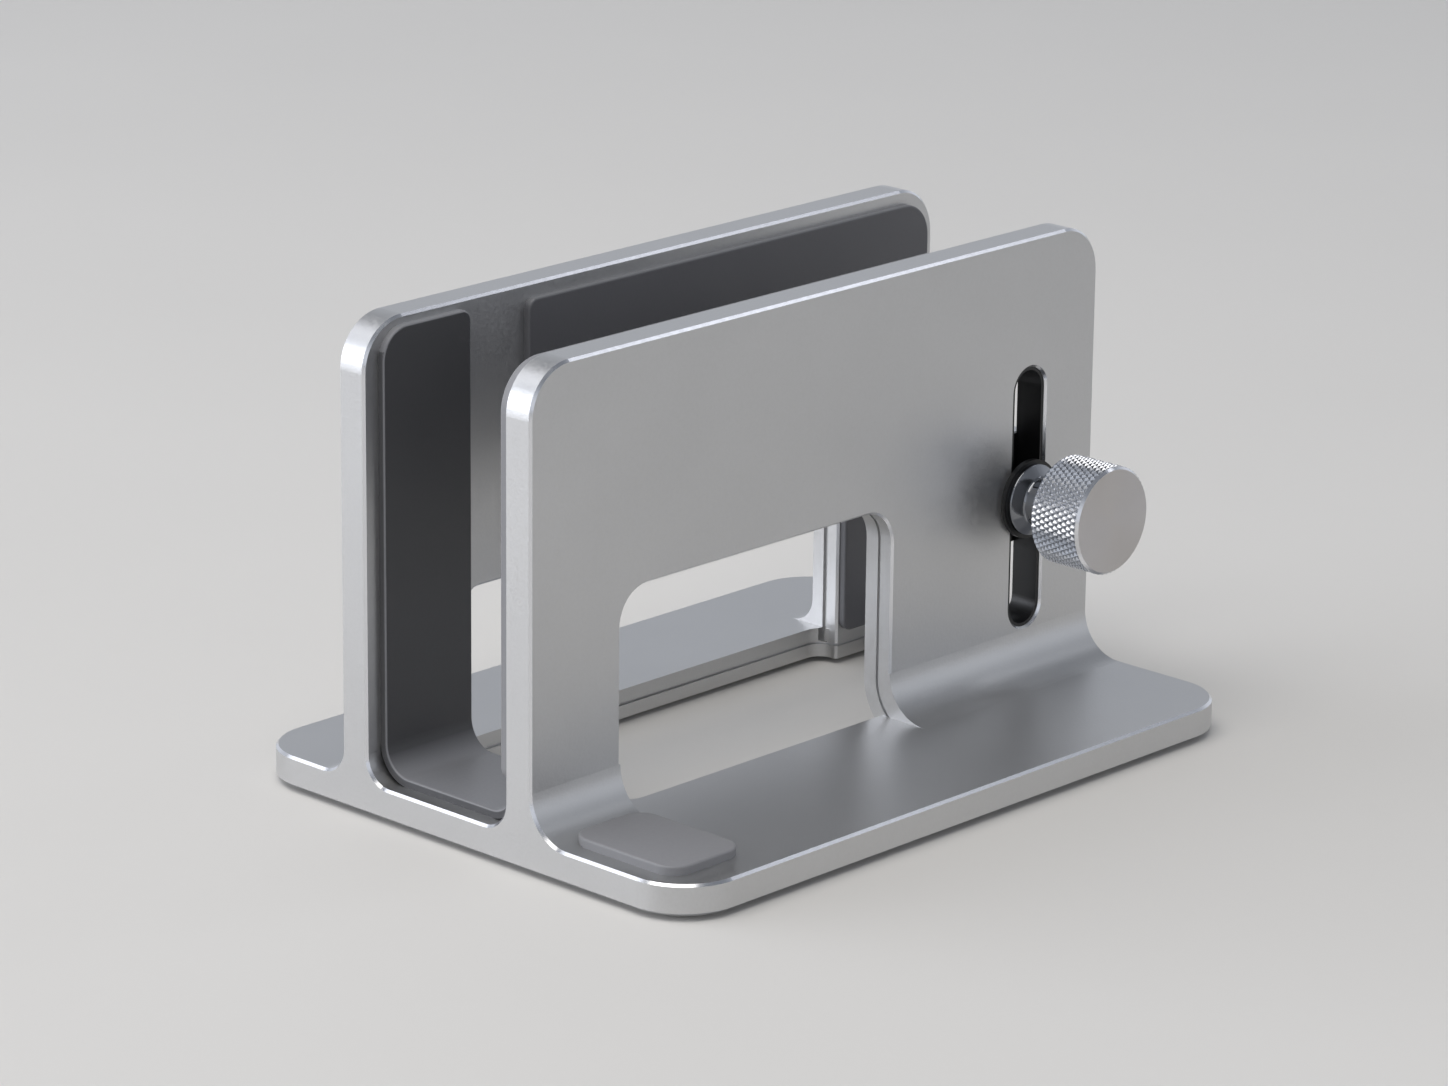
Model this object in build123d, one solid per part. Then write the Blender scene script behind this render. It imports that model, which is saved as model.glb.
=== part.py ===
from build123d import *
import os

os.makedirs("parts", exist_ok=True)

# Vertical laptop stand with a sliding clamp. All sizes are in millimetres.
# X runs across the stand towards the wide flange, Y along it towards the clamp, Z up from the desk.
# The origin lies on the desk, under the middle of the base.

# Stand body: one profile, seen along its length
length = 140.0
left_flange_width = 23.5
wall_thickness = 6.0
channel_width = 33.0
right_flange_width = 35.0
base_thickness = 5.4
wall_height = 85.0
wall_corner_radius = 8.8
base_corner_radius = 11.0
left_fillet_radius = 4.8
right_fillet_radius = 8.0
channel_fillet_radius = 5.0
edge_break = 0.45

# Windows, floor cut-out and the fine groove along their cut edges
right_window_start = 20.8
right_window_length = 66.4
right_window_height = 43.5
left_window_length = 92.4
left_window_height = 34.2
right_window_corner_radius = 6.5
left_window_corner_radius = 2.5
window_edge_break = 0.4
flange_lip = 1.8
cutout_corner_radius = 4.5
cutout_left_radius = 3.0
cutout_reach = 12.376
bend_radius = 12.0
groove_width = 0.6
left_groove_width = 1.0
groove_depth = 0.5

# Upright slot and its lining
slot_from_far_end = 17.3
slot_width = 8.3
slot_length = 47.7
slot_above_fillet = 0.5
slot_edge_break = 0.4
slot_liner_thickness = 0.6
slot_liner_setback = 0.5

# Silicone linings
pad_thickness = 1.4
pad_inset = 2.5
pad_corner_radius = 2.0
pad_edge_radius = 0.4
near_liner_start = 3.2
near_liner_top_inset = 1.5
near_liner_turn_up = 8.0
far_liner_turn_up = 5.2
liner_bend_ease = 1.5
left_pad_start = 36.7
right_pad_inset = 0.5
right_pad_thickness = 1.5
right_pad_clamp_room = 6.0
flange_pad_from_wall = 4.9
flange_pad_start = 3.8
flange_pad_width = 24.0
flange_pad_depth = 16.8
flange_pad_thickness = 1.6
flange_pad_corner_radius = 4.0

# Rubber feet
foot_diameter = 12.0
foot_proud = 1.0
foot_pocket_depth = 0.8
foot_from_edge = 4.0
foot_edge_radius = 0.3

# Clamp carriage
washer_diameter = 14.2
washer_thickness = 0.9
collar_flange_diameter = 12.8
collar_rim_thickness = 0.7
collar_rim_radius = 0.25
collar_cone_length = 1.5
collar_neck_diameter = 8.6
collar_neck_length = 3.8
collar_cove_radius = 0.8
backing_plate_width = 18.0
backing_plate_height = 20.0
backing_plate_thickness = 3.0
slip_plate_thickness = 0.8
plate_corner_radius = 3.0
plate_edge_break = 0.4

# Clamp screw and knob
screw_diameter = 5.0
knob_diameter = 19.4
knob_length = 10.9
knob_gap = 5.5
knob_front_bevel = 0.5
knob_back_bevel = 0.6
knob_recess_depth = 4.0
knob_recess_room = 0.3
knob_grip_depth = 5.0

# Pressure foot on the screw's end
disc_setback = 6.7
disc_diameter = 24.0
disc_thickness = 4.6
disc_edge_radius = 0.6
journal_diameter = 3.4
clip_recess_diameter = 9.0
clip_recess_depth = 1.6
clip_diameter = 7.0
clip_thickness = 0.6
clip_groove_diameter = 2.4
clip_mouth = 2.0
journal_end = 0.5
pressure_pad_thickness = 1.6

# Clearances, and the cosine over which two faces count as joined smoothly
running_clearance = 0.05
slide_clearance = 0.1
seat_clearance = 0.02
soft_gap = 0.6
smooth_join_cosine = 0.9

# Places that follow from the sizes above
total_width = left_flange_width + 2 * wall_thickness + channel_width + right_flange_width
left_edge = -total_width / 2
right_edge = total_width / 2
left_wall_outer = left_edge + left_flange_width
left_wall_inner = left_wall_outer + wall_thickness
right_wall_inner = left_wall_inner + channel_width
right_wall_outer = right_wall_inner + wall_thickness
near_end = -length / 2
far_end = length / 2
underside = foot_proud
base_top = underside + base_thickness
wall_top = underside + wall_height

right_window_near = near_end + right_window_start
right_window_far = right_window_near + right_window_length
right_window_top = underside + right_window_height
left_window_near = -left_window_length / 2
left_window_far = left_window_length / 2
left_window_top = underside + left_window_height
cutout_far = left_window_far + cutout_reach

liner_bend_radius = channel_fillet_radius + liner_bend_ease

slot_y = far_end - slot_from_far_end
slot_bottom = base_top + right_fillet_radius + slot_above_fillet
axis_z = slot_bottom + slot_length / 2
clamp_axis = Axis((0, slot_y, axis_z), (1, 0, 0))

tube_diameter = slot_width - 2 * (slot_liner_thickness + slide_clearance)
bore_diameter = screw_diameter + 2 * running_clearance
backing_back = right_wall_inner - slip_plate_thickness - backing_plate_thickness
collar_seat = right_wall_outer + washer_thickness
collar_front = collar_seat + collar_rim_thickness + collar_cone_length
knob_back = collar_front + knob_gap
knob_front = knob_back + knob_length
knob_recess_floor = knob_back + knob_recess_depth
screw_outer_end = knob_recess_floor + knob_grip_depth
disc_back = backing_back - disc_setback
disc_front = disc_back - disc_thickness
hub_front = disc_front + clip_recess_depth
clip_front = hub_front - running_clearance - clip_thickness
screw_tip = clip_front - journal_end


def along_y(outline, start, end):
    """Extrude an outline drawn in X and Z from one Y to another."""
    plane = Plane(origin=(0, start, 0), x_dir=(1, 0, 0), z_dir=(0, -1, 0))
    return extrude(plane * outline, amount=start - end)


def along_x(outline, start, end):
    """Extrude an outline drawn in Y and Z from one X to another."""
    plane = Plane(origin=(start, 0, 0), x_dir=(0, 1, 0), z_dir=(1, 0, 0))
    return extrude(plane * outline, amount=end - start)


def along_z(outline, start, end):
    """Extrude an outline drawn in X and Y from one Z to another."""
    return extrude(Plane.XY.offset(start) * outline, amount=end - start)


def outline(points):
    """Closed flat face through corner points."""
    return make_face(Polyline(*points, close=True))


def rounded(face, corners):
    """Round named corners of a flat face, each given as (point, radius)."""
    for point, radius in corners:
        face = fillet(face.vertices().sort_by_distance((*point, 0))[0], radius)
    return face


def rectangle(low, high):
    """Flat rectangle between two corner points."""
    return outline([low, (high[0], low[1]), high, (low[0], high[1])])


def rounded_rectangle(low, high, radius):
    """Flat rectangle with all four corners rounded."""
    return fillet(rectangle(low, high).vertices(), radius)


def turned(face):
    """Solid turned about the clamp axis from a flat face drawn in X and radius."""
    plane = Plane(origin=(0, slot_y, axis_z), x_dir=(1, 0, 0), z_dir=(0, -1, 0))
    return revolve(plane * face, axis=clamp_axis)


def rod(start, end, diameter):
    """Plain cylinder on the clamp axis."""
    return along_x(Pos(slot_y, axis_z) * Circle(diameter / 2), start, end)


def sharp_edges(solid):
    """Edges where two faces meet at an angle, leaving out the smooth joins."""
    sharp = []
    for edge in solid.edges():
        middle = edge.position_at(0.5)
        normals = [face.normal_at(middle) for face in solid.faces() if edge in face.edges()]
        if len(normals) == 2 and abs(normals[0].dot(normals[1])) < smooth_join_cosine:
            sharp.append(edge)
    return sharp


def body_profile():
    """Section of the stand: flange, wall, channel floor, wall, flange."""
    face = outline([
        (left_edge, underside), (right_edge, underside), (right_edge, base_top),
        (right_wall_outer, base_top), (right_wall_outer, wall_top),
        (right_wall_inner, wall_top), (right_wall_inner, base_top),
        (left_wall_inner, base_top), (left_wall_inner, wall_top),
        (left_wall_outer, wall_top), (left_wall_outer, base_top), (left_edge, base_top),
    ])
    return rounded(face, [
        ((right_wall_outer, base_top), right_fillet_radius),
        ((right_wall_inner, base_top), channel_fillet_radius),
        ((left_wall_inner, base_top), channel_fillet_radius),
        ((left_wall_outer, base_top), left_fillet_radius),
    ])


def rounded_body():
    """The profile at full length, with its corners rounded and every edge broken."""
    body = along_y(body_profile(), near_end, far_end)
    upright = body.edges().filter_by(Axis.Z)
    base_corners = upright.group_by(lambda edge: abs(edge.center().X))[-1]
    body = fillet(base_corners, base_corner_radius)
    across = body.edges().filter_by(Axis.X)
    wall_corners = across.group_by(Axis.Z)[-1]
    body = fillet(wall_corners, wall_corner_radius)
    return chamfer(sharp_edges(body), edge_break)


def window_outline(near, far, top, radius):
    """Window in Y and Z, open at the base, with rounded upper corners."""
    face = rectangle((near, base_top), (far, top))
    return rounded(face, [((near, top), radius), ((far, top), radius)])


def right_window(grow):
    """Right window's outline, grown evenly on its three cut sides."""
    return window_outline(
        right_window_near - grow, right_window_far + grow,
        right_window_top + grow, right_window_corner_radius + grow,
    )


def left_window(grow):
    """Left window's outline, grown evenly on its three cut sides."""
    return window_outline(
        left_window_near - grow, left_window_far + grow,
        left_window_top + grow, left_window_corner_radius + grow,
    )


def window_bevel(window, face_x, fillet_radius):
    """Bevel round a window's edge on the wall face at face_x, above the fillet at its foot."""
    flat_part = rectangle((near_end, base_top + fillet_radius), (far_end, wall_top))
    face_plane = Plane(origin=(face_x, 0, 0), x_dir=(0, 1, 0), z_dir=(1, 0, 0))
    deep_plane = face_plane.offset(-window_edge_break)
    wide = face_plane * (window(window_edge_break) & flat_part)
    tight = deep_plane * (window(0) & flat_part)
    return loft([wide, tight], ruled=True)


def window_cuts():
    """Both windows, each cut through its wall and the fillets at its foot."""
    right = along_x(
        right_window(0),
        right_wall_inner - channel_fillet_radius, right_wall_outer + right_fillet_radius,
    )
    left = along_x(
        left_window(0),
        left_wall_outer - left_fillet_radius, left_wall_inner + channel_fillet_radius,
    )
    right_bevel = window_bevel(right_window, right_wall_outer, right_fillet_radius)
    left_bevel = window_bevel(left_window, left_wall_inner, channel_fillet_radius)
    return [right, left, right_bevel, left_bevel]


def floor_plan(grow):
    """Plan of the floor cut-out. It runs under both walls, and past the left window only between them."""
    left = left_wall_outer + flange_lip - grow
    right = right_wall_outer - flange_lip + grow
    inner = left_wall_inner - grow
    near = left_window_near - grow
    jamb = left_window_far + grow
    far = cutout_far + grow
    face = outline([(left, near), (right, near), (right, far), (inner, far), (inner, jamb), (left, jamb)])
    face = rounded(face, [
        ((left, near), cutout_corner_radius + grow),
        ((right, near), cutout_corner_radius + grow),
        ((right, far), cutout_corner_radius + grow),
        ((inner, far), cutout_left_radius + grow),
        ((left, jamb), cutout_left_radius + grow),
    ])
    wall_corner = face.vertices().sort_by_distance((inner, jamb, 0))[0]
    return chamfer(wall_corner, window_edge_break)


def floor_cut():
    """Floor cut-out. Where the right wall stands over it, the wall's foot is left as a round bend."""
    bend_top = underside + bend_radius
    bend_centre = (right_wall_inner + bend_radius, bend_top)
    channel = rectangle((left_wall_outer, -foot_proud), (right_wall_inner, bend_top))
    foot = rectangle((right_wall_inner, -foot_proud), (right_wall_outer, bend_top))
    bend = Pos(*bend_centre) * Circle(bend_radius)
    under_wall = along_y(channel + (foot - bend), left_window_near, cutout_far)
    open_part = along_z(
        rectangle((right_wall_inner, left_window_near), (right_wall_outer, right_window_far)),
        -foot_proud, bend_top,
    )
    return (under_wall + open_part) & along_z(floor_plan(0), -foot_proud, bend_top)


def groove_cuts():
    """Fine groove in the middle of the windows' and the cut-out's edges."""
    half = groove_width / 2
    right_middle = (right_wall_inner + right_wall_outer) / 2
    left_middle = (left_wall_inner + left_wall_outer) / 2
    bend_centre = Pos(right_wall_inner + bend_radius, underside + bend_radius)
    middle_radius = bend_radius - wall_thickness / 2
    ring = Circle(middle_radius + half) - Circle(middle_radius - half)
    quarter = rectangle((-bend_radius, -bend_radius), (0, 0))
    straight = rectangle(
        (right_middle - half, underside + bend_radius), (right_middle + half, wall_top),
    )
    bent_sheet = along_y(straight + bend_centre * (ring & quarter), near_end, far_end)
    right_room = along_x(
        right_window(groove_depth), right_wall_inner, right_wall_outer + right_fillet_radius,
    )
    base_middle = (underside + base_top) / 2
    left_ends = rectangle(
        (left_window_near - groove_depth, base_middle), (left_window_far + groove_depth, base_top),
    )
    left_half = left_groove_width / 2
    left_groove = along_x(
        left_window(groove_depth) + left_ends, left_middle - left_half, left_middle + left_half,
    )
    floor_edge = along_z(floor_plan(groove_depth), base_middle - half, base_middle + half)
    return [bent_sheet & right_room, left_groove, floor_edge]


def slot_outline(width):
    """Upright slot in Y and Z, drawn in evenly all round to the given width."""
    slot = SlotOverall(slot_length - (slot_width - width), width, rotation=90)
    return Pos(slot_y, axis_z) * slot


def foot_places():
    """Foot names and their centres in X and Y."""
    inset = foot_from_edge + foot_diameter / 2
    places = {}
    for end, y in (("near", near_end + inset), ("far", far_end - inset)):
        for side, x in (("left", left_edge + inset), ("right", right_edge - inset)):
            places[f"foot_{end}_{side}"] = (x, y)
    return places


def make_stand_body():
    body = rounded_body()
    for cut in window_cuts():
        body -= cut
    body -= floor_cut()
    for groove in groove_cuts():
        body -= groove
    body -= along_x(slot_outline(slot_width), right_wall_inner, right_wall_outer)
    slot_foot = (right_wall_outer, slot_y, slot_bottom)
    outer_face = body.faces().filter_by(Axis.X).sort_by_distance(slot_foot)[0]
    body = chamfer(outer_face.inner_wires()[0].edges(), slot_edge_break)
    for x, y in foot_places().values():
        pocket = Pos(x, y) * Circle(foot_diameter / 2 + seat_clearance)
        body -= along_z(pocket, underside, underside + foot_pocket_depth)
    return body


def make_foot(x, y):
    disc = along_z(Pos(x, y) * Circle(foot_diameter / 2), 0, underside + foot_pocket_depth)
    return fillet(disc.edges().group_by(Axis.Z)[0], foot_edge_radius)


def channel_outline(inset):
    """Section of the room between the walls, drawn in evenly, with round lower corners."""
    left = left_wall_inner + inset
    right = right_wall_inner - inset
    floor = base_top + inset
    radius = liner_bend_radius - inset
    face = rectangle((left, floor), (right, wall_top))
    return rounded(face, [((left, floor), radius), ((right, floor), radius)])


def lining_section(left_top, right_top):
    """Section of a strip that lines the channel up to a height on either wall."""
    middle = (left_wall_inner + right_wall_inner) / 2
    above_left = rectangle((left_edge, left_top), (middle, wall_top))
    above_right = rectangle((middle, right_top), (right_edge, wall_top))
    return channel_outline(0) - channel_outline(pad_thickness) - above_left - above_right


def soften_lining(liner):
    """Round the edges of a lining's showing faces."""
    room = along_y(channel_outline(pad_thickness), near_end, far_end)
    rim = [edge for edge in sharp_edges(liner) if room.distance_to(edge.position_at(0.5)) < seat_clearance]
    return fillet(rim, pad_edge_radius)


def make_near_liner():
    """U-shaped strip with a tall leg on the left wall and a short turn-up on the right."""
    start = near_end + near_liner_start
    end = left_window_near - soft_gap
    section = lining_section(wall_top - near_liner_top_inset, base_top + near_liner_turn_up)
    liner = along_y(section, start, end)
    top_corners = liner.edges().filter_by(Axis.X).group_by(Axis.Z)[-1].sort_by(Axis.Y)
    liner = fillet(top_corners[0], wall_corner_radius - near_liner_start)
    top_corners = liner.edges().filter_by(Axis.X).group_by(Axis.Z)[-1].sort_by(Axis.Y)
    liner = soften_lining(fillet(top_corners[-1], pad_corner_radius))
    beside_window = rectangle(
        (right_wall_inner - liner_bend_radius, right_window_near - pad_inset), (right_wall_inner, end),
    )
    return liner - along_z(beside_window, base_top, wall_top)


def soften(pad, direction):
    """Round the rim of a flat pad's showing face, which faces along direction."""
    face = pad.faces().sort_by(direction)[-1]
    return fillet(face.edges(), pad_edge_radius)


def make_left_wall_pad():
    """Panel above the left window, with a leg down the far end of the wall and a toe beside the cut-out."""
    start = near_end + left_pad_start
    end = far_end - pad_inset
    leg_start = left_window_far + soft_gap
    top = wall_top - pad_inset
    band_bottom = left_window_top + pad_inset
    leg_bottom = base_top + far_liner_turn_up + soft_gap
    toe_end = cutout_far - cutout_left_radius
    face = outline([
        (start, band_bottom), (start, top), (end, top), (end, leg_bottom), (toe_end, leg_bottom),
        (toe_end, base_top), (leg_start, base_top), (leg_start, band_bottom),
    ])
    face = rounded(face, [
        ((start, band_bottom), pad_corner_radius),
        ((start, top), pad_corner_radius),
        ((end, top), wall_corner_radius - pad_inset),
        ((end, leg_bottom), pad_corner_radius),
        ((toe_end, leg_bottom), pad_corner_radius),
        ((toe_end, base_top), pad_corner_radius),
        ((leg_start, base_top), pad_corner_radius),
        ((leg_start, band_bottom), pad_corner_radius),
    ])
    return soften(along_x(face, left_wall_inner, left_wall_inner + pad_thickness), Axis.X)


def make_right_wall_pad():
    """Leg at the near end of the right wall and a band above its window, short of the clamp."""
    start = near_end + right_pad_inset
    end = slot_y - disc_diameter / 2 - right_pad_clamp_room
    leg_end = right_window_near - pad_inset
    top = wall_top - right_pad_inset
    band_bottom = right_window_top + pad_inset
    leg_bottom = base_top + near_liner_turn_up + soft_gap
    face = outline([
        (start, leg_bottom), (start, top), (end, top),
        (end, band_bottom), (leg_end, band_bottom), (leg_end, leg_bottom),
    ])
    face = rounded(face, [
        ((start, leg_bottom), pad_corner_radius),
        ((start, top), wall_corner_radius - right_pad_inset),
        ((end, top), pad_corner_radius),
        ((end, band_bottom), pad_corner_radius),
        ((leg_end, band_bottom), pad_corner_radius),
        ((leg_end, leg_bottom), pad_corner_radius),
    ])
    pad = along_x(face, right_wall_inner - right_pad_thickness, right_wall_inner)
    return soften(pad, Axis((0, 0, 0), (-1, 0, 0)))


def make_far_floor_pad():
    """Floor lining at the far end, turned up a little at both walls and low enough for the clamp."""
    top = base_top + far_liner_turn_up
    pad = along_y(lining_section(top, top), cutout_far + soft_gap, far_end - pad_inset)
    return soften_lining(pad)


def make_flange_pad():
    """Pad on the wide flange, relieved underneath where it laps the wall's fillet."""
    low = (right_wall_outer + flange_pad_from_wall, near_end + flange_pad_start)
    high = (low[0] + flange_pad_width, low[1] + flange_pad_depth)
    face = rounded_rectangle(low, high, flange_pad_corner_radius)
    pad = soften(along_z(face, base_top, base_top + flange_pad_thickness), Axis.Z)
    toe = (right_wall_outer + right_fillet_radius, base_top + right_fillet_radius)
    corner = rectangle((right_wall_outer, base_top), toe)
    relief = corner - Pos(*toe) * Circle(right_fillet_radius - running_clearance)
    return pad - along_y(relief, near_end, far_end)


def make_slot_liner():
    outer = slot_outline(slot_width - 2 * seat_clearance)
    inner = slot_outline(slot_width - 2 * slot_liner_thickness)
    return along_x(outer - inner, right_wall_inner, right_wall_outer - slot_liner_setback)


def make_friction_washer():
    washer = rod(right_wall_outer, collar_seat, washer_diameter)
    return washer - rod(right_wall_outer, collar_seat, tube_diameter + 2 * running_clearance)


def make_collar_bush():
    """Conical collar with a neck towards the knob, and a tube through the slot into the backing plate."""
    bore = bore_diameter / 2
    tube = tube_diameter / 2
    flange = collar_flange_diameter / 2
    neck = collar_neck_diameter / 2
    rim_front = collar_seat + collar_rim_thickness
    neck_end = collar_front + collar_neck_length
    face = outline([
        (backing_back, bore), (backing_back, tube), (collar_seat, tube), (collar_seat, flange),
        (rim_front, flange), (collar_front, neck), (neck_end, neck), (neck_end, bore),
    ])
    return turned(rounded(face, [
        ((rim_front, flange), collar_rim_radius),
        ((collar_front, neck), collar_cove_radius),
    ]))


def clamp_plate(back, front, hole):
    """Rounded plate behind the wall, with a hole for the collar's tube."""
    half = (backing_plate_width / 2, backing_plate_height / 2)
    low = (slot_y - half[0], axis_z - half[1])
    high = (slot_y + half[0], axis_z + half[1])
    plate = along_x(rounded_rectangle(low, high, plate_corner_radius), back, front)
    return plate - rod(back, front, hole)


def make_backing_plate():
    front = backing_back + backing_plate_thickness
    plate = clamp_plate(backing_back, front, tube_diameter + 2 * seat_clearance)
    rim = plate.faces().sort_by(Axis.X)[0].outer_wire()
    return chamfer(rim.edges(), plate_edge_break)


def make_slip_plate():
    back = right_wall_inner - slip_plate_thickness
    return clamp_plate(back, right_wall_inner, tube_diameter + 2 * running_clearance)


def make_knob():
    radius = knob_diameter / 2
    recess = collar_flange_diameter / 2 + knob_recess_room
    grip = screw_diameter / 2 + seat_clearance
    return turned(outline([
        (knob_back, recess), (knob_back, radius - knob_back_bevel),
        (knob_back + knob_back_bevel, radius), (knob_front - knob_front_bevel, radius),
        (knob_front, radius - knob_front_bevel), (knob_front, 0),
        (screw_outer_end, 0), (screw_outer_end, grip),
        (knob_recess_floor, grip), (knob_recess_floor, recess),
    ]))


def make_clamp_screw():
    """Stud with a plain journal and a clip groove at its inner end."""
    shank = screw_diameter / 2
    journal = journal_diameter / 2
    groove = clip_groove_diameter / 2
    shoulder = disc_back + running_clearance
    return turned(outline([
        (screw_outer_end, 0), (screw_outer_end, shank), (shoulder, shank), (shoulder, journal),
        (hub_front, journal), (hub_front, groove), (clip_front, groove), (clip_front, journal),
        (screw_tip, journal), (screw_tip, 0),
    ]))


def make_retaining_clip():
    """Open ring snapped into the screw's groove."""
    back = clip_front + clip_thickness
    ring = rod(clip_front, back, clip_diameter)
    ring -= rod(clip_front, back, clip_groove_diameter + 2 * running_clearance)
    low = (slot_y - clip_mouth / 2, axis_z - clip_diameter)
    return ring - along_x(rectangle(low, (slot_y + clip_mouth / 2, axis_z)), clip_front, back)


def make_pressure_foot():
    disc = rod(disc_front, disc_back, disc_diameter)
    disc = fillet(disc.edges().group_by(Axis.X)[-1], disc_edge_radius)
    disc -= rod(disc_front, disc_back, journal_diameter + 2 * running_clearance)
    return disc - rod(disc_front, hub_front, clip_recess_diameter)


def make_pressure_pad():
    pad = rod(disc_front - pressure_pad_thickness, disc_front, disc_diameter)
    return fillet(pad.edges().group_by(Axis.X)[0], disc_edge_radius)


pieces = {
    "stand_body": make_stand_body(),
    "near_liner": make_near_liner(),
    "left_wall_pad": make_left_wall_pad(),
    "right_wall_pad": make_right_wall_pad(),
    "far_floor_pad": make_far_floor_pad(),
    "flange_pad": make_flange_pad(),
    "slot_liner": make_slot_liner(),
    "friction_washer": make_friction_washer(),
    "collar_bush": make_collar_bush(),
    "backing_plate": make_backing_plate(),
    "slip_plate": make_slip_plate(),
    "knob": make_knob(),
    "clamp_screw": make_clamp_screw(),
    "retaining_clip": make_retaining_clip(),
    "pressure_foot": make_pressure_foot(),
    "pressure_pad": make_pressure_pad(),
}
for foot_name, (foot_x, foot_y) in foot_places().items():
    pieces[foot_name] = make_foot(foot_x, foot_y)

for node, solid in pieces.items():
    solid.label = node
    export_step(solid, f"parts/{node}.step")
    print(f"{node}: {solid.volume / 1000:.3f} cm3")
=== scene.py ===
# %% [markdown]
# # A vertical laptop stand
# The stand is one aluminium profile with two upright walls. A closed laptop stands on its edge between
# them, and a knurled screw clamp presses it against the left wall. The solids come ready made from the
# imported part, so this lesson only dresses them: it gives each solid its finish, cuts the knurl on the
# knob and the thread on the screw as real geometry, and sets up a plain studio.

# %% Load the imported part
import math

import bmesh
import bpy
from mathutils import Matrix, Vector


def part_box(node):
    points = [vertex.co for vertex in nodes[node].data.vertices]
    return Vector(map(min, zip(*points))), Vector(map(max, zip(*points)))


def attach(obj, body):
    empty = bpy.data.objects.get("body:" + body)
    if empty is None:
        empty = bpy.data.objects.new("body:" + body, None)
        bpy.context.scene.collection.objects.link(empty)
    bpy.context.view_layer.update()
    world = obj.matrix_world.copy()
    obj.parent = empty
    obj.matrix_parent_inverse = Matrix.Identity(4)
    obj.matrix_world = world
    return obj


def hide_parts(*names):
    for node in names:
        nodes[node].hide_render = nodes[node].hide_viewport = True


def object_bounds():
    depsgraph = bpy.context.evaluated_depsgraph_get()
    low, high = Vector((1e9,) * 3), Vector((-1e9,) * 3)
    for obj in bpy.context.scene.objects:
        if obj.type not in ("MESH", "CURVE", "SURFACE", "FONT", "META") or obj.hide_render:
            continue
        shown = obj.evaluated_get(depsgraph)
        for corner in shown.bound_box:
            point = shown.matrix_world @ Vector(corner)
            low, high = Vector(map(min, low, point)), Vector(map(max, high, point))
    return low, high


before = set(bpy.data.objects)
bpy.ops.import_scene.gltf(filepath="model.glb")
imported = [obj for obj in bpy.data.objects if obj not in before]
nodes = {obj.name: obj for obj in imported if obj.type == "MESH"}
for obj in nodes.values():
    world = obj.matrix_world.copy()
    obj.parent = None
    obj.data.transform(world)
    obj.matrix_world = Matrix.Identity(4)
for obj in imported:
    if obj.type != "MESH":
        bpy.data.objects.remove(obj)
cad_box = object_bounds()
MM = 0.001
print("CAD box in mm:", [round((high - low) / MM, 1) for low, high in zip(*cad_box)])

# %% [markdown]
# ## Small helpers
# Colours are written as sRGB hex, as a colour picker shows them, and shaders work in linear light, so
# one function turns the first into the second. Texture scales come from a real size in millimetres.
# Nodes could be added and linked line by line, but that hides what a finish is made of. So one function
# adds any node, with its settings and links, to a shader tree or a geometry tree.

# %% Colour, scale and node helpers
def linear(code):
    """An sRGB hex colour as the linear RGBA that shaders take."""
    parts = [int(code[i:i + 2], 16) / 255 for i in (1, 3, 5)]
    return [p / 12.92 if p <= 0.04045 else ((p + 0.055) / 1.055) ** 2.4 for p in parts] + [1.0]


def per(size_mm):
    """Texture scale at which a pattern repeats about every size_mm millimetres."""
    return 1 / (size_mm * MM)


def feed(tree, node, values):
    """Give a node's inputs what they need: a value, or a link from another node's output."""
    for name, value in values.items():
        socket = node.inputs[name]
        if isinstance(value, bpy.types.NodeSocket):
            tree.links.new(value, socket)
        else:
            socket.default_value = value


def add(tree, kind, values=None, **settings):
    """Add a node. settings are its properties, values are what its inputs get."""
    node = tree.nodes.new(kind)
    for name, value in settings.items():
        setattr(node, name, value)
    feed(tree, node, values or {})
    return node


def new_material(name):
    """An empty node material: the material, its tree and its main shader."""
    material = bpy.data.materials.new(name)
    material.use_nodes = True
    return material, material.node_tree, material.node_tree.nodes["Principled BSDF"]


print("middle grey #808080 in linear light:", round(linear("#808080")[0], 3))

# %% [markdown]
# ## Bead-blasted, anodised aluminium
# The body is extruded, milled, blasted with fine glass beads and anodised. Blasting leaves a field of
# tiny dents, so the metal scatters light softly and shows a fine grain. An even grey with one roughness
# would look like paint, so two noises make it: one grain of half a millimetre, drawn a little coarser
# than the real dents so that it still shows, and one slow cloud that varies the tone from place to
# place, as handling and uneven blasting do.

# %% Blasted aluminium
DENT_MM = 0.5
HANDLING_CLOUD_MM = 38
DENT_DEPTH = 0.08 * MM
DENT_STRENGTH = 0.25
DENT_GLOSS = 0.06


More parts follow.
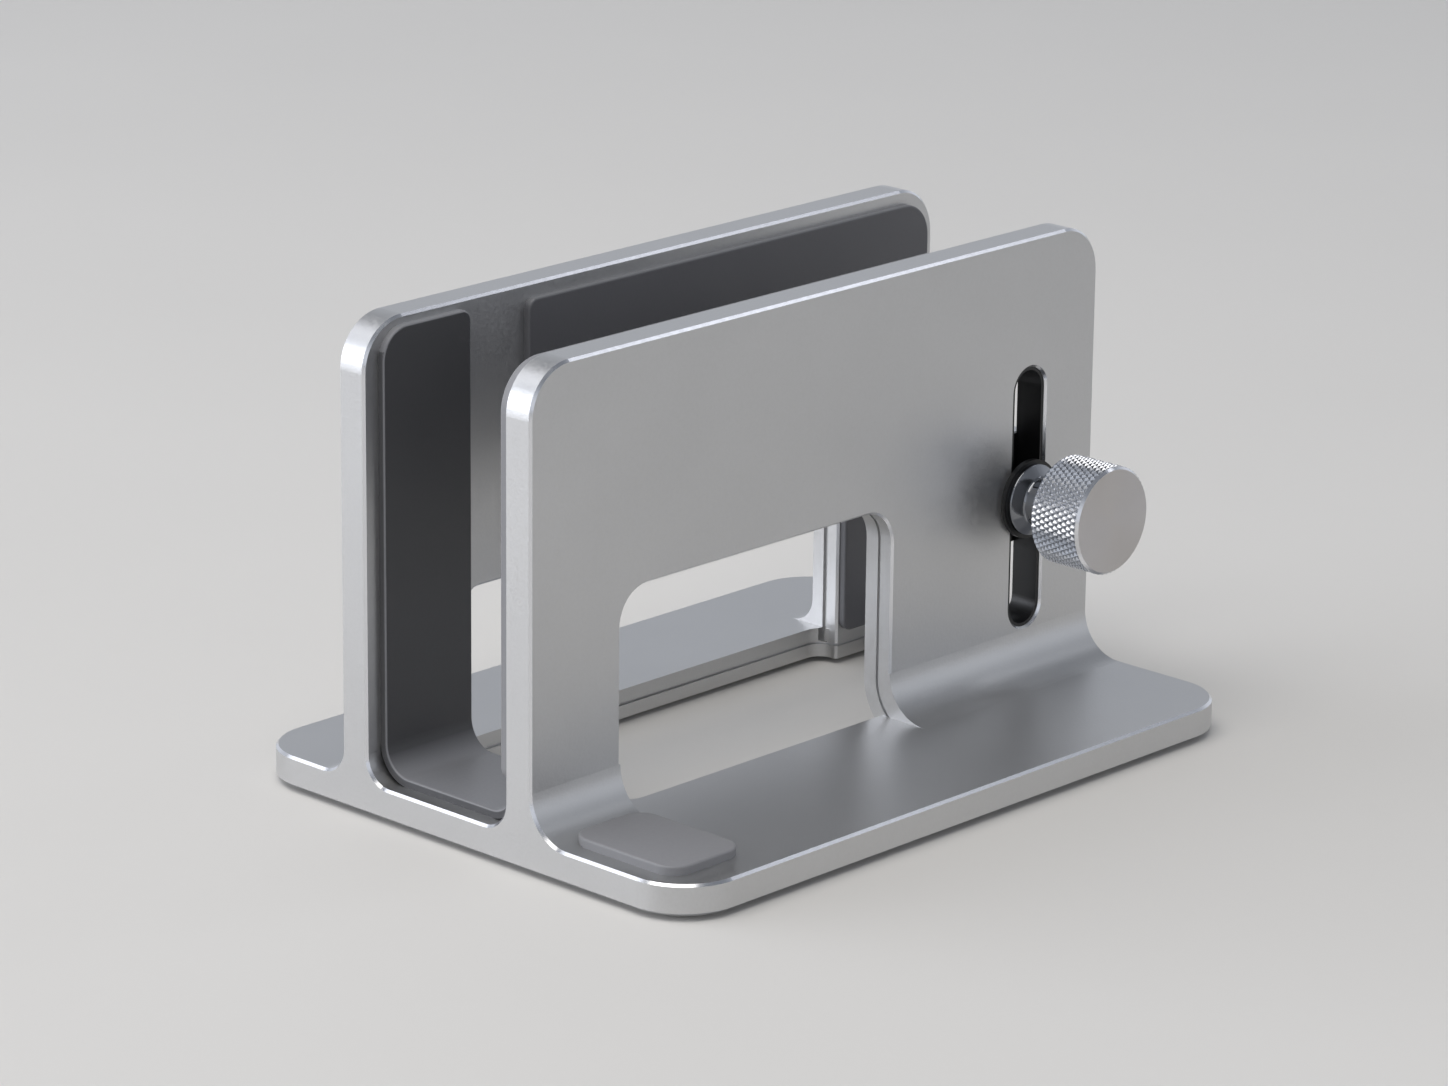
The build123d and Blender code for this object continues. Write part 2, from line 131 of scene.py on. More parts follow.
def blasted_aluminium(name, light, dark, roughness):
    material, tree, shader = new_material(name)
    place = add(tree, "ShaderNodeTexCoord").outputs["Object"]
    grain = add(tree, "ShaderNodeTexNoise", {"Vector": place, "Scale": per(DENT_MM), "Detail": 2.0})
    cloud = add(tree, "ShaderNodeTexNoise", {
        "Vector": place, "Scale": per(HANDLING_CLOUD_MM), "Detail": 3.0,
    })
    speck = add(tree, "ShaderNodeMix", {
        "Factor": 0.5, "A": cloud.outputs["Fac"], "B": grain.outputs["Fac"],
    })
    tone = add(tree, "ShaderNodeMix", {
        "Factor": speck.outputs["Result"], "A": linear(dark), "B": linear(light),
    }, data_type="RGBA")
    gloss = add(tree, "ShaderNodeMapRange", {
        "Value": grain.outputs["Fac"], "From Min": 0.3, "From Max": 0.7,
        "To Min": roughness - DENT_GLOSS, "To Max": roughness + DENT_GLOSS,
    })
    bump = add(tree, "ShaderNodeBump", {
        "Height": grain.outputs["Fac"], "Strength": DENT_STRENGTH, "Distance": DENT_DEPTH,
    })
    feed(tree, shader, {
        "Base Color": tone.outputs["Result"], "Roughness": gloss.outputs["Result"],
        "Normal": bump.outputs["Normal"], "Metallic": 1.0,
    })
    return material


body_finish = blasted_aluminium("bead_blasted_aluminium", "#D5D5D5", "#BFBFBF", 0.41)
clamp_finish = blasted_aluminium("satin_aluminium", "#C4C5C7", "#B9BABC", 0.34)
print("blasted finishes:", body_finish.name, clamp_finish.name)

# %% [markdown]
# ## Polished edges
# After blasting, every outer edge is broken with a bright diamond-cut bevel. A bright line could be
# painted along the edges, but it would stay bright from every side. It is the same metal, only smooth,
# so it gets its own material with a low roughness and the faint streaks of the cutter.

# %% Polished aluminium
STREAK_MM = 1.5
STREAK_GLOSS = 0.05


def polished_aluminium(name, colour, roughness):
    material, tree, shader = new_material(name)
    place = add(tree, "ShaderNodeTexCoord").outputs["Object"]
    streaks = add(tree, "ShaderNodeTexNoise", {"Vector": place, "Scale": per(STREAK_MM), "Detail": 4.0})
    gloss = add(tree, "ShaderNodeMapRange", {
        "Value": streaks.outputs["Fac"], "To Min": roughness - STREAK_GLOSS, "To Max": roughness + STREAK_GLOSS,
    })
    feed(tree, shader, {
        "Base Color": linear(colour), "Roughness": gloss.outputs["Result"], "Metallic": 1.0,
    })
    return material


edge_finish = polished_aluminium("polished_aluminium_edge", "#E2E3E6", 0.20)
print("edge finish:", edge_finish.name)

# %% [markdown]
# ## Which faces are polished
# The bevels are faces of the body's own mesh. They could be picked by hand, but a rule still works after
# the part is packed again: a bevel's normal leans between two directions, and it lies at the rim of a
# wall or of the base, which tells it from the large fillets at the walls' feet. The body keeps its
# shape: only the material slot of those faces changes.

# %% Give the body its two finishes
BASE_TOP = 6.4 * MM
FILLET_TOP = 15.0 * MM
FLANGE_RIM = 45.0 * MM
END_BAND = 0.75 * MM
END_BEVEL = cad_box[1].y - END_BAND


def leans(part):
    """True if a normal's part along one axis is well away from both 0 and 1."""
    return 0.3 < abs(part) < 0.9


def on_a_bevel(centre, normal):
    at_end = abs(centre.y) > END_BEVEL and leans(normal.y)
    wall_rim = centre.z > FILLET_TOP and leans(normal.x)
    low_wall = centre.z > BASE_TOP and leans(normal.x) and leans(normal.y)
    flange_rim = abs(centre.x) > FLANGE_RIM and leans(normal.z)
    base_rim = centre.z < BASE_TOP and leans(normal.y) and leans(normal.z)
    return at_end or wall_rim or low_wall or flange_rim or base_rim


body = nodes["stand_body"]
body.data.materials[0] = body_finish
body.data.materials.append(edge_finish)
for face in body.data.polygons:
    face.material_index = int(on_a_bevel(face.center, face.normal))
polished_faces = sum(face.material_index for face in body.data.polygons)
print("polished faces:", polished_faces, "of", len(body.data.polygons))

# %% [markdown]
# ## Silicone, rubber and nylon
# The linings are moulded silicone: a soft, even surface that is slightly lighter where the mould was
# polished less. It is too dark for light to show inside it, so a plain rough shader does, with no light
# under the skin. A fine bump breaks the reflections, and a slow cloud keeps the colour from being flat.
# The faces that look up are painted paler with the normal's Z, as painted light from above.
# The same recipe, darker or harder, serves the rubber feet and the black nylon of the slot.

# %% Moulded finishes
MOULD_CLOUD_MM = 24
MOULD_STRENGTH = 0.35
MOULD_GLOSS = 0.08
TOP_LIGHT_STARTS = 0.35
TOP_LIGHT_IS_FULL = 0.95


def moulded(name, light, dark, top_lit_colour, roughness, grain_mm, bump_mm):
    material, tree, shader = new_material(name)
    coordinates = add(tree, "ShaderNodeTexCoord")
    place = coordinates.outputs["Object"]
    facing = add(tree, "ShaderNodeSeparateXYZ", {"Vector": coordinates.outputs["Normal"]})
    # painted light: faces that look up turn paler with the normal's Z, as if lit from above
    painted_top_light = add(tree, "ShaderNodeMapRange", {
        "Value": facing.outputs["Z"], "From Min": TOP_LIGHT_STARTS, "From Max": TOP_LIGHT_IS_FULL,
    })
    grain = add(tree, "ShaderNodeTexNoise", {"Vector": place, "Scale": per(grain_mm), "Detail": 3.0})
    cloud = add(tree, "ShaderNodeTexNoise", {
        "Vector": place, "Scale": per(MOULD_CLOUD_MM), "Detail": 2.0,
    })
    tone = add(tree, "ShaderNodeMix", {
        "Factor": cloud.outputs["Fac"], "A": linear(dark), "B": linear(light),
    }, data_type="RGBA")
    top_lit_tone = add(tree, "ShaderNodeMix", {
        "Factor": painted_top_light.outputs["Result"], "A": tone.outputs["Result"], "B": linear(top_lit_colour),
    }, data_type="RGBA")
    gloss = add(tree, "ShaderNodeMapRange", {
        "Value": grain.outputs["Fac"], "To Min": roughness - MOULD_GLOSS, "To Max": roughness + MOULD_GLOSS,
    })
    bump = add(tree, "ShaderNodeBump", {
        "Height": grain.outputs["Fac"], "Strength": MOULD_STRENGTH, "Distance": bump_mm * MM,
    })
    feed(tree, shader, {
        "Base Color": top_lit_tone.outputs["Result"], "Roughness": gloss.outputs["Result"],
        "Normal": bump.outputs["Normal"],
    })
    return material


# the third colour of each call is the painted top light on faces that look up
liner_finish = moulded("charcoal_silicone", "#4A4A4C", "#404042", "#88898D", 0.46, 0.6, 0.04)
# painted light: the left wall's panel is the linings' silicone, coloured lighter to stand in for the light it
# catches
lit_panel_finish = moulded("panel_silicone_painted_lighter", "#626265", "#58585B", "#78797C", 0.46, 0.6, 0.04)
grey_finish = moulded("grey_silicone", "#88888A", "#7C7C7F", "#8C8C8F", 0.55, 0.6, 0.05)
foot_finish = moulded("black_rubber", "#2A2A2A", "#1F1F1F", "#2E2E2E", 0.70, 0.8, 0.06)
nylon_finish = moulded("black_nylon", "#101011", "#0B0B0C", "#121213", 0.40, 0.5, 0.03)
print("moulded finishes:", liner_finish.name, lit_panel_finish.name, grey_finish.name)

# %% [markdown]
# ## Dress the soft and black parts
# These nodes keep their solid shape, because the real ones are plain mouldings. They could be copied and
# given a finish, but a node that is right only needs a new material in its slot.

# %% Soft and black parts
soft_parts = {
    liner_finish: ("near_liner", "far_floor_pad", "pressure_pad"),
    lit_panel_finish: ("left_wall_pad",),
    grey_finish: ("flange_pad", "right_wall_pad"),
    nylon_finish: ("slot_liner", "friction_washer", "slip_plate"),
    foot_finish: [name for name in nodes if name.startswith("foot_")],
}
for finish, names in soft_parts.items():
    for name in names:
        nodes[name].data.materials[0] = finish
    print(finish.name, "on", ", ".join(names))

# %% [markdown]
# ## The painted highlight on the near lining's rim
# The near lining's rounded rim is painted paler, as a painted highlight where the edge catches the light.
# A node could look for edges over the whole surface, but the rim has faces of its own, so they get a second
# slot, as on the body.

# %% Painted highlight on the rim
LINER_TOP = 80.0 * MM
# painted highlight: the rim's faces get a paler silicone, standing in for light caught by the rounded edge
rim_highlight_finish = moulded("silicone_rim_painted_highlight", "#7E7E81", "#707073", "#8A8A8D", 0.42, 0.6, 0.02)


def on_a_lining_rim(centre, normal):
    return leans(normal.y) or (centre.z > LINER_TOP and leans(normal.z))


lining = nodes["near_liner"].data
lining.materials.append(rim_highlight_finish)
for face in lining.polygons:
    face.material_index = int(on_a_lining_rim(face.center, face.normal))
print("rim highlight faces:", sum(face.material_index for face in lining.polygons), "of", len(lining.polygons))

# %% [markdown]
# ## Plated metal of the clamp
# The collar is polished and chrome plated, so it mirrors the room. The screw and its clip are
# zinc-plated steel, which is a little cloudy and bluish. A perfect mirror would be simpler, but plating
# is never quite even, so a cloud varies its tone and gloss. The plate behind the wall and the pressure
# foot are satin aluminium, which is ready from above.

# %% Chrome and plated steel
PLATED_SMOOTHER = 0.03
PLATED_ROUGHER = 0.05


def plated(name, light, dark, roughness, cloud_mm):
    material, tree, shader = new_material(name)
    place = add(tree, "ShaderNodeTexCoord").outputs["Object"]
    cloud = add(tree, "ShaderNodeTexNoise", {"Vector": place, "Scale": per(cloud_mm), "Detail": 3.0})
    tone = add(tree, "ShaderNodeMix", {
        "Factor": cloud.outputs["Fac"], "A": linear(dark), "B": linear(light),
    }, data_type="RGBA")
    gloss = add(tree, "ShaderNodeMapRange", {
        "Value": cloud.outputs["Fac"],
        "To Min": roughness - PLATED_SMOOTHER, "To Max": roughness + PLATED_ROUGHER,
    })
    feed(tree, shader, {
        "Base Color": tone.outputs["Result"], "Roughness": gloss.outputs["Result"], "Metallic": 1.0,
    })
    return material


chrome_finish = plated("polished_chrome", "#8E9094", "#828488", 0.08, 3.0)
zinc_finish = plated("zinc_plated_steel", "#B4B6BA", "#A2A4A8", 0.30, 2.0)
nodes["collar_bush"].data.materials[0] = chrome_finish
nodes["retaining_clip"].data.materials[0] = zinc_finish
for name in ("backing_plate", "pressure_foot"):
    nodes[name].data.materials[0] = clamp_finish
print("plated finishes:", chrome_finish.name, zinc_finish.name)

# %% [markdown]
# ## Turning a piece on a lathe
# The knob and the screw are turned parts, so both are made as on a lathe: a profile of points along
# the clamp's axis is swept round that axis. A Screw modifier could sweep it too, but here each stretch
# of the profile can have its own finish.

# %% Lathe
knob_low, knob_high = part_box("knob")
AXIS_Y = (knob_low.y + knob_high.y) / 2
AXIS_Z = (knob_low.z + knob_high.z) / 2


def lathe(name, profile, finishes, body_name, steps=128):
    """Sweep (x, radius) points round the clamp axis. finishes has one material for each stretch."""
    mesh = bpy.data.meshes.new(name)
    work = bmesh.new()
    rings = []
    for x, radius in profile:
        turns = steps if radius > 0 else 1
        angles = [2 * math.pi * i / turns for i in range(turns)]
        rings.append([
            work.verts.new((x, AXIS_Y + radius * math.cos(a), AXIS_Z + radius * math.sin(a)))
            for a in angles
        ])
    used = sorted(set(finishes), key=finishes.index)
    for near, far, finish in zip(rings, rings[1:], finishes):
        for i in range(steps):
            j = i + 1
            corners = [near[i % len(near)], near[j % len(near)], far[j % len(far)], far[i % len(far)]]
            face = work.faces.new(dict.fromkeys(corners))
            face.material_index = used.index(finish)
    bmesh.ops.recalc_face_normals(work, faces=work.faces)
    work.to_mesh(mesh)
    work.free()
    for finish in used:
        mesh.materials.append(finish)
    piece = bpy.data.objects.new(name, mesh)
    bpy.context.scene.collection.objects.link(piece)
    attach(piece, body_name)
    print(name, "faces:", len(mesh.polygons))
    return piece


print("clamp axis in mm: y", round(AXIS_Y / MM, 2), "z", round(AXIS_Z / MM, 2))

# %% [markdown]
# ## Finishes of the knob
# The knob is bright aluminium. Its flat face was cut on the lathe, and the tool's fine rings stretch
# every reflection across them. The rings are too fine to model, so the anisotropic setting does it, with
# the tangent running round the X axis. The knurl's crests stay bright; its valleys get painted shade.

# %% Knob finishes
RING_STRETCH = 0.75


def spun_aluminium(name, light, dark, roughness, cloud_mm):
    material, tree, shader = new_material(name)
    place = add(tree, "ShaderNodeTexCoord").outputs["Object"]
    cloud = add(tree, "ShaderNodeTexNoise", {"Vector": place, "Scale": per(cloud_mm), "Detail": 2.0})
    tone = add(tree, "ShaderNodeMix", {
        "Factor": cloud.outputs["Fac"], "A": linear(dark), "B": linear(light),
    }, data_type="RGBA")
    round_axis = add(tree, "ShaderNodeTangent", direction_type="RADIAL", axis="X")
    feed(tree, shader, {
        "Base Color": tone.outputs["Result"], "Tangent": round_axis.outputs["Tangent"],
        "Metallic": 1.0, "Roughness": roughness, "Anisotropic": RING_STRETCH,
    })
    return material


face_finish = spun_aluminium("spun_aluminium_face", "#CAC7C6", "#C3C0BF", 0.38, 6.0)
rim_finish = polished_aluminium("polished_aluminium_rim", "#E4E5E8", 0.18)
knurl_finish = blasted_aluminium("knurled_aluminium", "#D0D3D9", "#BFC2C8", 0.24)
# painted shade: the knurl's valleys are coloured darker than its crests
valley_shade_finish = blasted_aluminium("knurl_valley_painted_shade", "#80858E", "#70757E", 0.40)
print("knob finishes:", face_finish.name, rim_finish.name, knurl_finish.name, valley_shade_finish.name)

# %% [markdown]
# ## The knob's core
# The solid knob is as thick as the knurl's crests. A bump on it would leave its outline smooth, so a core
# is turned down to the bottom of the knurl, and the crests are set on it in the next step. The profile
# starts in the recess that swallows the collar's neck, runs over the back bevel, along the bottom of the
# knurl and over the bright front bevel to the middle of the face.

# %% Knob core
KNURL_DEPTH = 0.42 * MM
BACK_BEVEL = 0.6 * MM
FRONT_BEVEL = 0.5 * MM
RECESS_RADIUS = 6.7 * MM
RECESS_DEPTH = 4.0 * MM
SCREW_RADIUS = 2.5 * MM
LIP_INSET = 0.06 * MM
knob_back, knob_front = knob_low.x, knob_high.x
knob_radius = (knob_high.y - knob_low.y) / 2
recess_floor = knob_back + RECESS_DEPTH
valley_radius = knob_radius - KNURL_DEPTH
lip_radius = knob_radius - LIP_INSET
band_start = knob_back + BACK_BEVEL
band_end = knob_front - FRONT_BEVEL
knob = lathe("knob_core", [
    (recess_floor, SCREW_RADIUS), (recess_floor, RECESS_RADIUS), (knob_back, RECESS_RADIUS),
    (knob_back, knob_radius - BACK_BEVEL), (band_start, lip_radius), (band_start, valley_radius),
    (band_end, valley_radius), (band_end, lip_radius), (knob_front, knob_radius - FRONT_BEVEL),
    (knob_front, 0),
], [
    clamp_finish, clamp_finish, clamp_finish, rim_finish, rim_finish, valley_shade_finish,
    rim_finish, rim_finish, face_finish,
], "clamp_knob")
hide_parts("knob")

# %% [markdown]
# ## The diamond knurl
# Two sets of slanting grooves leave rows of small pyramids with flat tops. Setting six hundred of them
# by hand makes no sense, so a geometry tree makes one pyramid, a cone with four sides, and puts a copy on
# each point of a staggered grid wrapped round the knob. Each row of the table is one Math node: its
# name, what it does, and the names or numbers that it takes.

# %% Where the knurl's teeth stand
def new_tree(name, inputs):
    """An empty geometry tree with named inputs: the tree, and the sockets that give their values."""
    tree = bpy.data.node_groups.new(name, "GeometryNodeTree")
    tree.interface.new_socket("Geometry", in_out="OUTPUT", socket_type="NodeSocketGeometry")
    for label, kind in inputs.items():
        tree.interface.new_socket(label, in_out="INPUT", socket_type="NodeSocket" + kind)
    return tree, add(tree, "NodeGroupInput").outputs


knurl_tree, given = new_tree("diamond_knurl", {
    "Rows": "Int", "Teeth": "Int", "Start": "Float", "Length": "Float",
    "Valley Radius": "Float", "Depth": "Float", "Axis": "Vector", "Finish": "Material",
})
sums = {socket.name: socket for socket in given}
sums["index"] = add(knurl_tree, "GeometryNodeInputIndex").outputs["Index"]
for name, operation, *terms in (
    ("count", "MULTIPLY", "Rows", "Teeth"),
    ("rows passed", "DIVIDE", "index", "Teeth"),
    ("row", "FLOOR", "rows passed"),
    ("column", "MODULO", "index", "Teeth"),
    ("odd row", "MODULO", "row", 2.0),
    ("stagger", "MULTIPLY", "odd row", 0.5),
    ("turn", "DIVIDE", 2 * math.pi, "Teeth"),
    ("place in row", "ADD", "column", "stagger"),
    ("angle", "MULTIPLY", "place in row", "turn"),
    ("row gaps", "SUBTRACT", "Rows", 1.0),
    ("row step", "DIVIDE", "Length", "row gaps"),
    ("row offset", "MULTIPLY", "row", "row step"),
    ("x", "ADD", "Start", "row offset"),
    ("cosine", "COSINE", "angle"),
    ("sine", "SINE", "angle"),
    ("y", "MULTIPLY", "cosine", "Valley Radius"),
    ("z", "MULTIPLY", "sine", "Valley Radius"),
    ("lean", "SUBTRACT", "angle", math.pi / 2),
    ("half turn", "MULTIPLY", "turn", 0.5),
    ("half width", "MULTIPLY", "half turn", "Valley Radius"),
    ("end", "ADD", "Start", "Length"),
):
    values = {i: sums.get(term, term) for i, term in enumerate(terms)}
    sums[name] = add(knurl_tree, "ShaderNodeMath", values, operation=operation).outputs[0]
print("knurl sums:", len(sums))

# %% [markdown]
# Now the pyramid is stretched to one tooth's size, turned to stand on the core and copied to each point.
# Teeth that reach past the ends of the band are cut off flat there, as the lathe tool cuts them. They
# could be cut with a boolean, but holding their points inside the band does the same.

# %% Knurl teeth
PYRAMID_SIDES = 4
PYRAMID_TOP = 0.22
spot = add(knurl_tree, "ShaderNodeCombineXYZ", {"X": sums["x"], "Y": sums["y"], "Z": sums["z"]})
points = add(knurl_tree, "GeometryNodePoints", {
    "Count": sums["count"], "Position": spot.outputs["Vector"],
})
lean = add(knurl_tree, "ShaderNodeCombineXYZ", {"X": sums["lean"]})
pyramid = add(knurl_tree, "GeometryNodeMeshCone", {
    "Vertices": PYRAMID_SIDES, "Radius Top": PYRAMID_TOP, "Radius Bottom": 1.0, "Depth": 1.0,
}, fill_type="NGON")
tooth_size = add(knurl_tree, "ShaderNodeCombineXYZ", {
    "X": sums["row step"], "Y": sums["half width"], "Z": given["Depth"],
})
tooth = add(knurl_tree, "GeometryNodeTransform", {
    "Geometry": pyramid.outputs["Mesh"], "Scale": tooth_size.outputs["Vector"],
})
teeth = add(knurl_tree, "GeometryNodeInstanceOnPoints", {
    "Points": points.outputs[0], "Instance": tooth.outputs["Geometry"], "Rotation": lean.outputs["Vector"],
})
real = add(knurl_tree, "GeometryNodeRealizeInstances", {"Geometry": teeth.outputs["Instances"]})
where = add(knurl_tree, "ShaderNodeSeparateXYZ", {
    "Vector": add(knurl_tree, "GeometryNodeInputPosition").outputs["Position"],
})
kept_x = add(knurl_tree, "ShaderNodeClamp", {
    "Value": where.outputs["X"], "Min": given["Start"], "Max": sums["end"],
})
cut_spot = add(knurl_tree, "ShaderNodeCombineXYZ", {
    "X": kept_x.outputs["Result"], "Y": where.outputs["Y"], "Z": where.outputs["Z"],
})
trimmed = add(knurl_tree, "GeometryNodeSetPosition", {
    "Geometry": real.outputs["Geometry"], "Position": cut_spot.outputs["Vector"], "Offset": given["Axis"],
})
finished = add(knurl_tree, "GeometryNodeSetMaterial", {
    "Geometry": trimmed.outputs["Geometry"], "Material": given["Finish"],
})
add(knurl_tree, "NodeGroupOutput", {"Geometry": finished.outputs["Geometry"]})
print("knurl tree nodes:", len(knurl_tree.nodes))

# %% [markdown]
# ## Running a tree
# A tree is only a recipe. It could stay on the piece as a live modifier, but the hand-over takes plain
# meshes. So this function sets the modifier's inputs by the identifier of each socket, takes the
# evaluated result as a plain mesh and removes the modifier.

# %% Run the knurl's tree
KNURL_ROWS = 11
KNURL_TEETH = 54


def run_tree(name, tree, values, body_name):
    piece = bpy.data.objects.new(name, bpy.data.meshes.new(name))
    bpy.context.scene.collection.objects.link(piece)
    recipe = piece.modifiers.new(tree.name, "NODES")
    recipe.node_group = tree
    for item in tree.interface.items_tree:
        if item.in_out == "INPUT":
            recipe[item.identifier] = values[item.name]
    shown = piece.evaluated_get(bpy.context.evaluated_depsgraph_get())
    made = bpy.data.meshes.new_from_object(shown)
    piece.modifiers.clear()
    piece.data = made
    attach(piece, body_name)
    print(name, "faces:", len(made.polygons))
    return piece


knurl = run_tree("knob_knurl", knurl_tree, {
    "Rows": KNURL_ROWS, "Teeth": KNURL_TEETH, "Start": band_start, "Length": band_end - band_start,
    "Valley Radius": valley_radius, "Depth": KNURL_DEPTH, "Axis": (0.0, AXIS_Y, AXIS_Z),
    "Finish": knurl_finish,
}, "clamp_knob")

# %% [markdown]
# ## The screw's core
# The clamp screw is a zinc-plated stud of 5 mm diameter. It runs from the knob to the pressure foot, where
# a thinner journal with a groove takes the clip. A bump could stand for the thread, but it would leave the
# outline smooth where the screw shows behind the knob, so the core is turned down to the thread's bottom.

# %% Screw core
JOURNAL_RADIUS = 1.7 * MM
GROOVE_RADIUS = 1.2 * MM
CREST = 0.40 * MM
LEAD_IN = 0.6 * MM
RUNNING_GAP = 0.05 * MM
screw_low, screw_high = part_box("clamp_screw")
clip_low, clip_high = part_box("retaining_clip")
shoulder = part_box("pressure_foot")[1].x + RUNNING_GAP
groove_end = clip_high.x + RUNNING_GAP
core_radius = SCREW_RADIUS - CREST
thread_start = shoulder + LEAD_IN
thread_end = recess_floor - LEAD_IN
screw_profile = [
    (screw_high.x, 0), (screw_high.x, SCREW_RADIUS), (thread_end, SCREW_RADIUS),
    (thread_end, core_radius), (thread_start, core_radius), (shoulder, SCREW_RADIUS - LEAD_IN),
    (shoulder, JOURNAL_RADIUS), (groove_end, JOURNAL_RADIUS), (groove_end, GROOVE_RADIUS),
    (clip_low.x, GROOVE_RADIUS), (clip_low.x, JOURNAL_RADIUS), (screw_low.x, JOURNAL_RADIUS),
    (screw_low.x, 0),
]
screw_finishes = [zinc_finish] * (len(screw_profile) - 1)
screw = lathe("screw_core", screw_profile, screw_finishes, "clamp_knob", steps=48)
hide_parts("clamp_screw")

# %% [markdown]
# ## The screw's thread
# The thread climbs 0.8 mm a turn. It follows a path, so a geometry tree makes it: a spiral with a
# four-sided profile swept along it. Half of the profile sinks into the core, and the other half stands
# out as the thread's crest.

# %% Screw thread
PITCH = 0.8 * MM
STEPS_A_TURN = 32
THREAD_SIDES = 4
thread_tree, given = new_tree("screw_thread", {
    "Start": "Vector", "Length": "Float", "Pitch": "Float",
    "Core Radius": "Float", "Crest": "Float", "Finish": "Material",
})
turns = add(thread_tree, "ShaderNodeMath", {0: given["Length"], 1: given["Pitch"]}, operation="DIVIDE")
helix = add(thread_tree, "GeometryNodeCurveSpiral", {
    "Resolution": STEPS_A_TURN, "Rotations": turns.outputs[0], "Height": given["Length"],
    "Start Radius": given["Core Radius"], "End Radius": given["Core Radius"],
})
upright = add(thread_tree, "GeometryNodeSetCurveNormal", {"Curve": helix.outputs["Curve"]}, mode="Z_UP")
section = add(thread_tree, "GeometryNodeCurvePrimitiveCircle", {
    "Resolution": THREAD_SIDES, "Radius": given["Crest"],
})
ridge = add(thread_tree, "GeometryNodeCurveToMesh", {
    "Curve": upright.outputs["Curve"], "Profile Curve": section.outputs["Curve"], "Fill Caps": True,
})
placed = add(thread_tree, "GeometryNodeTransform", {
    "Geometry": ridge.outputs["Mesh"], "Translation": given["Start"], "Rotation": (0, math.pi / 2, 0),
})
whole = add(thread_tree, "GeometryNodeRealizeInstances", {"Geometry": placed.outputs["Geometry"]})
finished = add(thread_tree, "GeometryNodeSetMaterial", {
    "Geometry": whole.outputs["Geometry"], "Material": given["Finish"],
})
add(thread_tree, "NodeGroupOutput", {"Geometry": finished.outputs["Geometry"]})
thread = run_tree("screw_thread", thread_tree, {
    "Start": (thread_start, AXIS_Y, AXIS_Z), "Length": thread_end - thread_start, "Pitch": PITCH,
    "Core Radius": core_radius, "Crest": CREST, "Finish": zinc_finish,
}, "clamp_knob")

# %% [markdown]
# ## Floor and room
# Metal looks like what it mirrors, so an empty black world would make it black. The floor is plain, pale
# and matt. The room has pale walls and a darker ceiling, which gives the upper faces a soft gradient.

# %% Floor
HALF_FLOOR = 6.0
MOTTLE_MM = 120
floor_mesh = bpy.data.meshes.new("floor")
floor_corners = [(-1, -1), (1, -1), (1, 1), (-1, 1)]
floor_mesh.from_pydata([(x * HALF_FLOOR, y * HALF_FLOOR, 0) for x, y in floor_corners], [], [(0, 1, 2, 3)])
floor = bpy.data.objects.new("floor", floor_mesh)
bpy.context.scene.collection.objects.link(floor)
floor_finish, tree, shader = new_material("pale_matt_floor")
place = add(tree, "ShaderNodeTexCoord").outputs["Object"]
mottle = add(tree, "ShaderNodeTexNoise", {"Vector": place, "Scale": per(MOTTLE_MM), "Detail": 2.0})
tone = add(tree, "ShaderNodeMix", {
    "Factor": mottle.outputs["Fac"], "A": linear("#DCDAD6"), "B": linear("#E0DEDA"),
}, data_type="RGBA")
feed(tree, shader, {"Base Color": tone.outputs["Result"], "Roughness": 0.75})
floor_mesh.materials.append(floor_finish)
print("floor side in m:", 2 * HALF_FLOOR)

# %% [markdown]
# The room is only a colour for each direction. A picture of a room could light the stand too, but a
# plain gradient by height keeps the reflections calm.

# %% World
CEILING_STARTS = 0.25
CEILING_IS_FULL = 0.75
world = bpy.data.worlds.new("studio")
bpy.context.scene.world = world
world.use_nodes = True
tree = world.node_tree
direction = add(tree, "ShaderNodeSeparateXYZ", {
    "Vector": add(tree, "ShaderNodeTexCoord").outputs["Generated"],
})
height = add(tree, "ShaderNodeMapRange", {
    "Value": direction.outputs["Z"], "From Min": CEILING_STARTS, "From Max": CEILING_IS_FULL,
}, interpolation_type="SMOOTHSTEP")
sky = add(tree, "ShaderNodeMix", {
    "Factor": height.outputs["Result"], "A": linear("#DADEE6"), "B": linear("#7E8289"),
}, data_type="RGBA")
feed(tree, tree.nodes["Background"], {"Color": sky.outputs["Result"]})
print("world:", world.name)

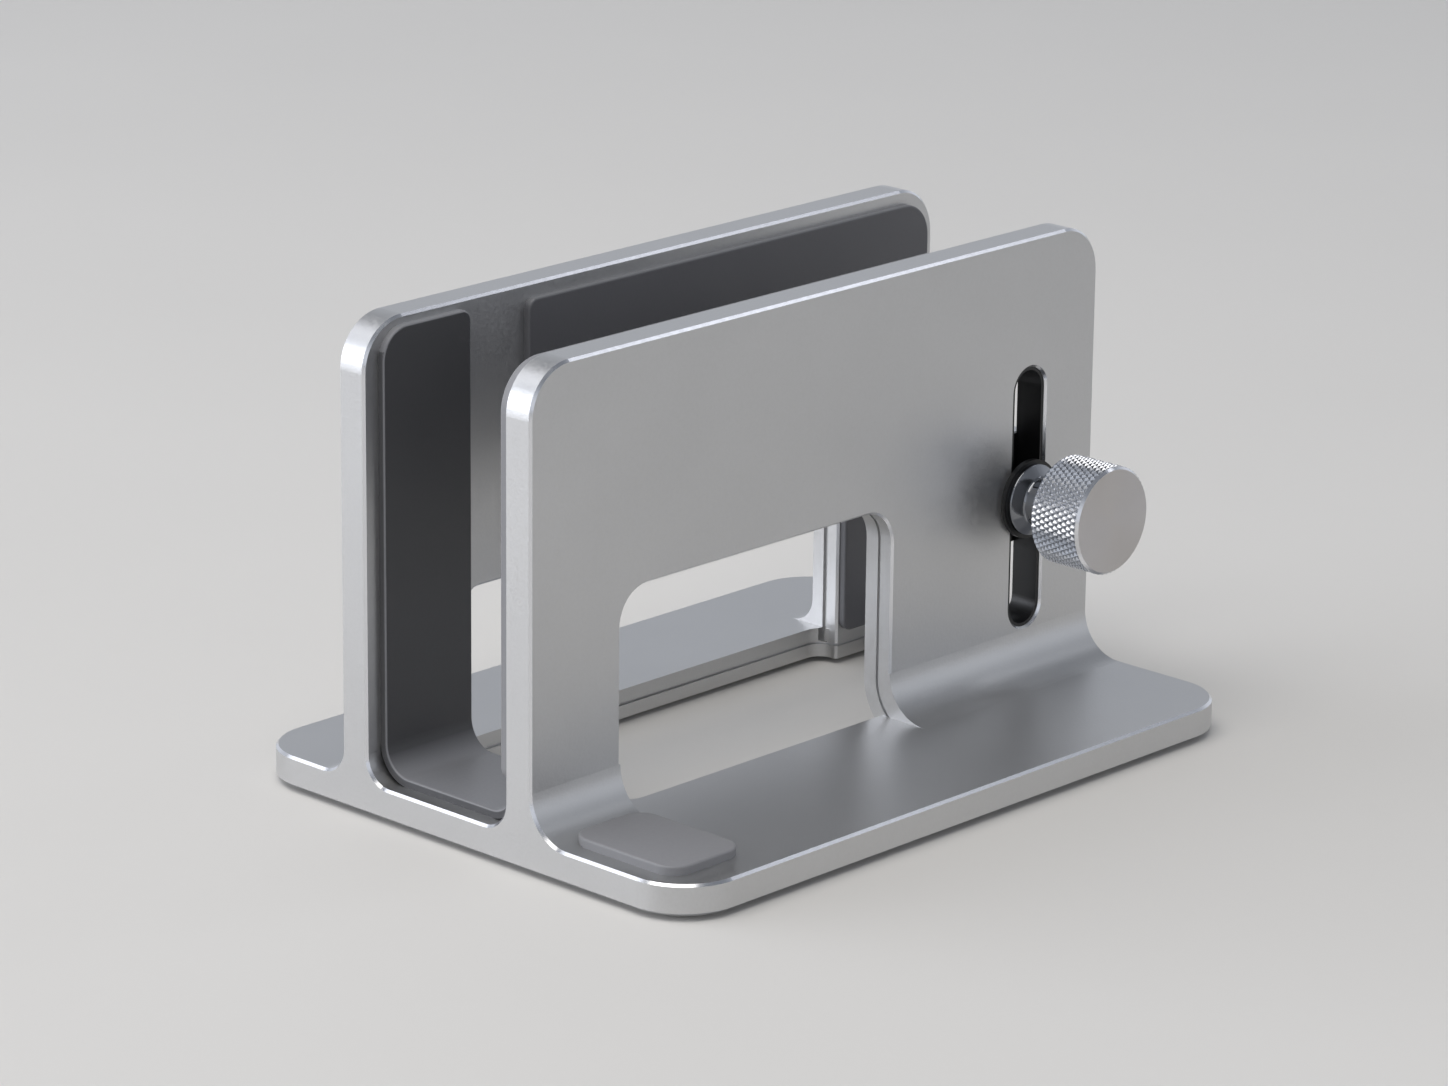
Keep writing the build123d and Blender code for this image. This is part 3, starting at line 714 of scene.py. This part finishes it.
# %% [markdown]
# ## Soft boxes
# Four soft boxes light the stand. A sun lamp would be simpler, but a bevel shows only what it mirrors, so
# each box stands where certain faces send the eye: a wide low one at the left for the ends of the walls, a
# high one at the left for the bevels round them, one overhead for the base's near edge, and a small one
# behind at the right for the bright line along the walls' top edges.

# %% Soft boxes
AIM = Vector((0, 0, 0.04))


def soft_box(name, place, width, height, watts, colour):
    lamp = bpy.data.lights.new(name, "AREA")
    lamp.shape = "RECTANGLE"
    lamp.size = width
    lamp.size_y = height
    lamp.energy = watts
    lamp.color = linear(colour)[:3]
    holder = bpy.data.objects.new(name, lamp)
    holder.location = place
    holder.rotation_euler = (AIM - Vector(place)).to_track_quat("-Z", "Y").to_euler()
    bpy.context.scene.collection.objects.link(holder)
    print(name, "watts:", watts)


soft_box("overhead_box", (0.05, -0.42, 1.3), 1.2, 1.2, 10.0, "#FFFBF6")
soft_box("low_left_box", (-2.10, -2.20, 0.62), 3.6, 1.2, 50.0, "#F2F6FF")
soft_box("high_left_box", (-1.05, -0.47, 1.15), 0.7, 0.7, 2.4, "#F6F8FF")
soft_box("back_right_box", (0.49, 1.11, 1.135), 0.27, 0.27, 0.34, "#F6F8FF")

# %% [markdown]
# ## Camera
# The camera stands where the photograph was taken: to the right of the near end, a little above the
# stand, with a long lens. It could be aimed by eye, but its place and axes come from fitting the stand's
# edges to the photograph, which is closer.

# %% Camera
CAMERA_PLACE = (0.6313, -0.6736, 0.3257)
CAMERA_RIGHT = (0.7242, 0.6895, 0.0108)
CAMERA_BACK = (0.6561, -0.6938, 0.2970)
camera = bpy.data.cameras.new("camera")
camera.lens = 140.0
camera.sensor_width = 36.0
camera.sensor_fit = "HORIZONTAL"
camera.shift_x = -0.0034
camera.shift_y = -0.0016
viewer = bpy.data.objects.new("camera", camera)
right = Vector(CAMERA_RIGHT).normalized()
back = Vector(CAMERA_BACK).normalized()
up = back.cross(right).normalized()
right = up.cross(back)
turned = Matrix((right, up, back)).transposed().to_4x4()
viewer.matrix_world = Matrix.Translation(CAMERA_PLACE) @ turned
bpy.context.scene.collection.objects.link(viewer)
bpy.context.scene.camera = viewer
bpy.context.scene.view_settings.view_transform = "Standard"
print("camera lens:", camera.lens)
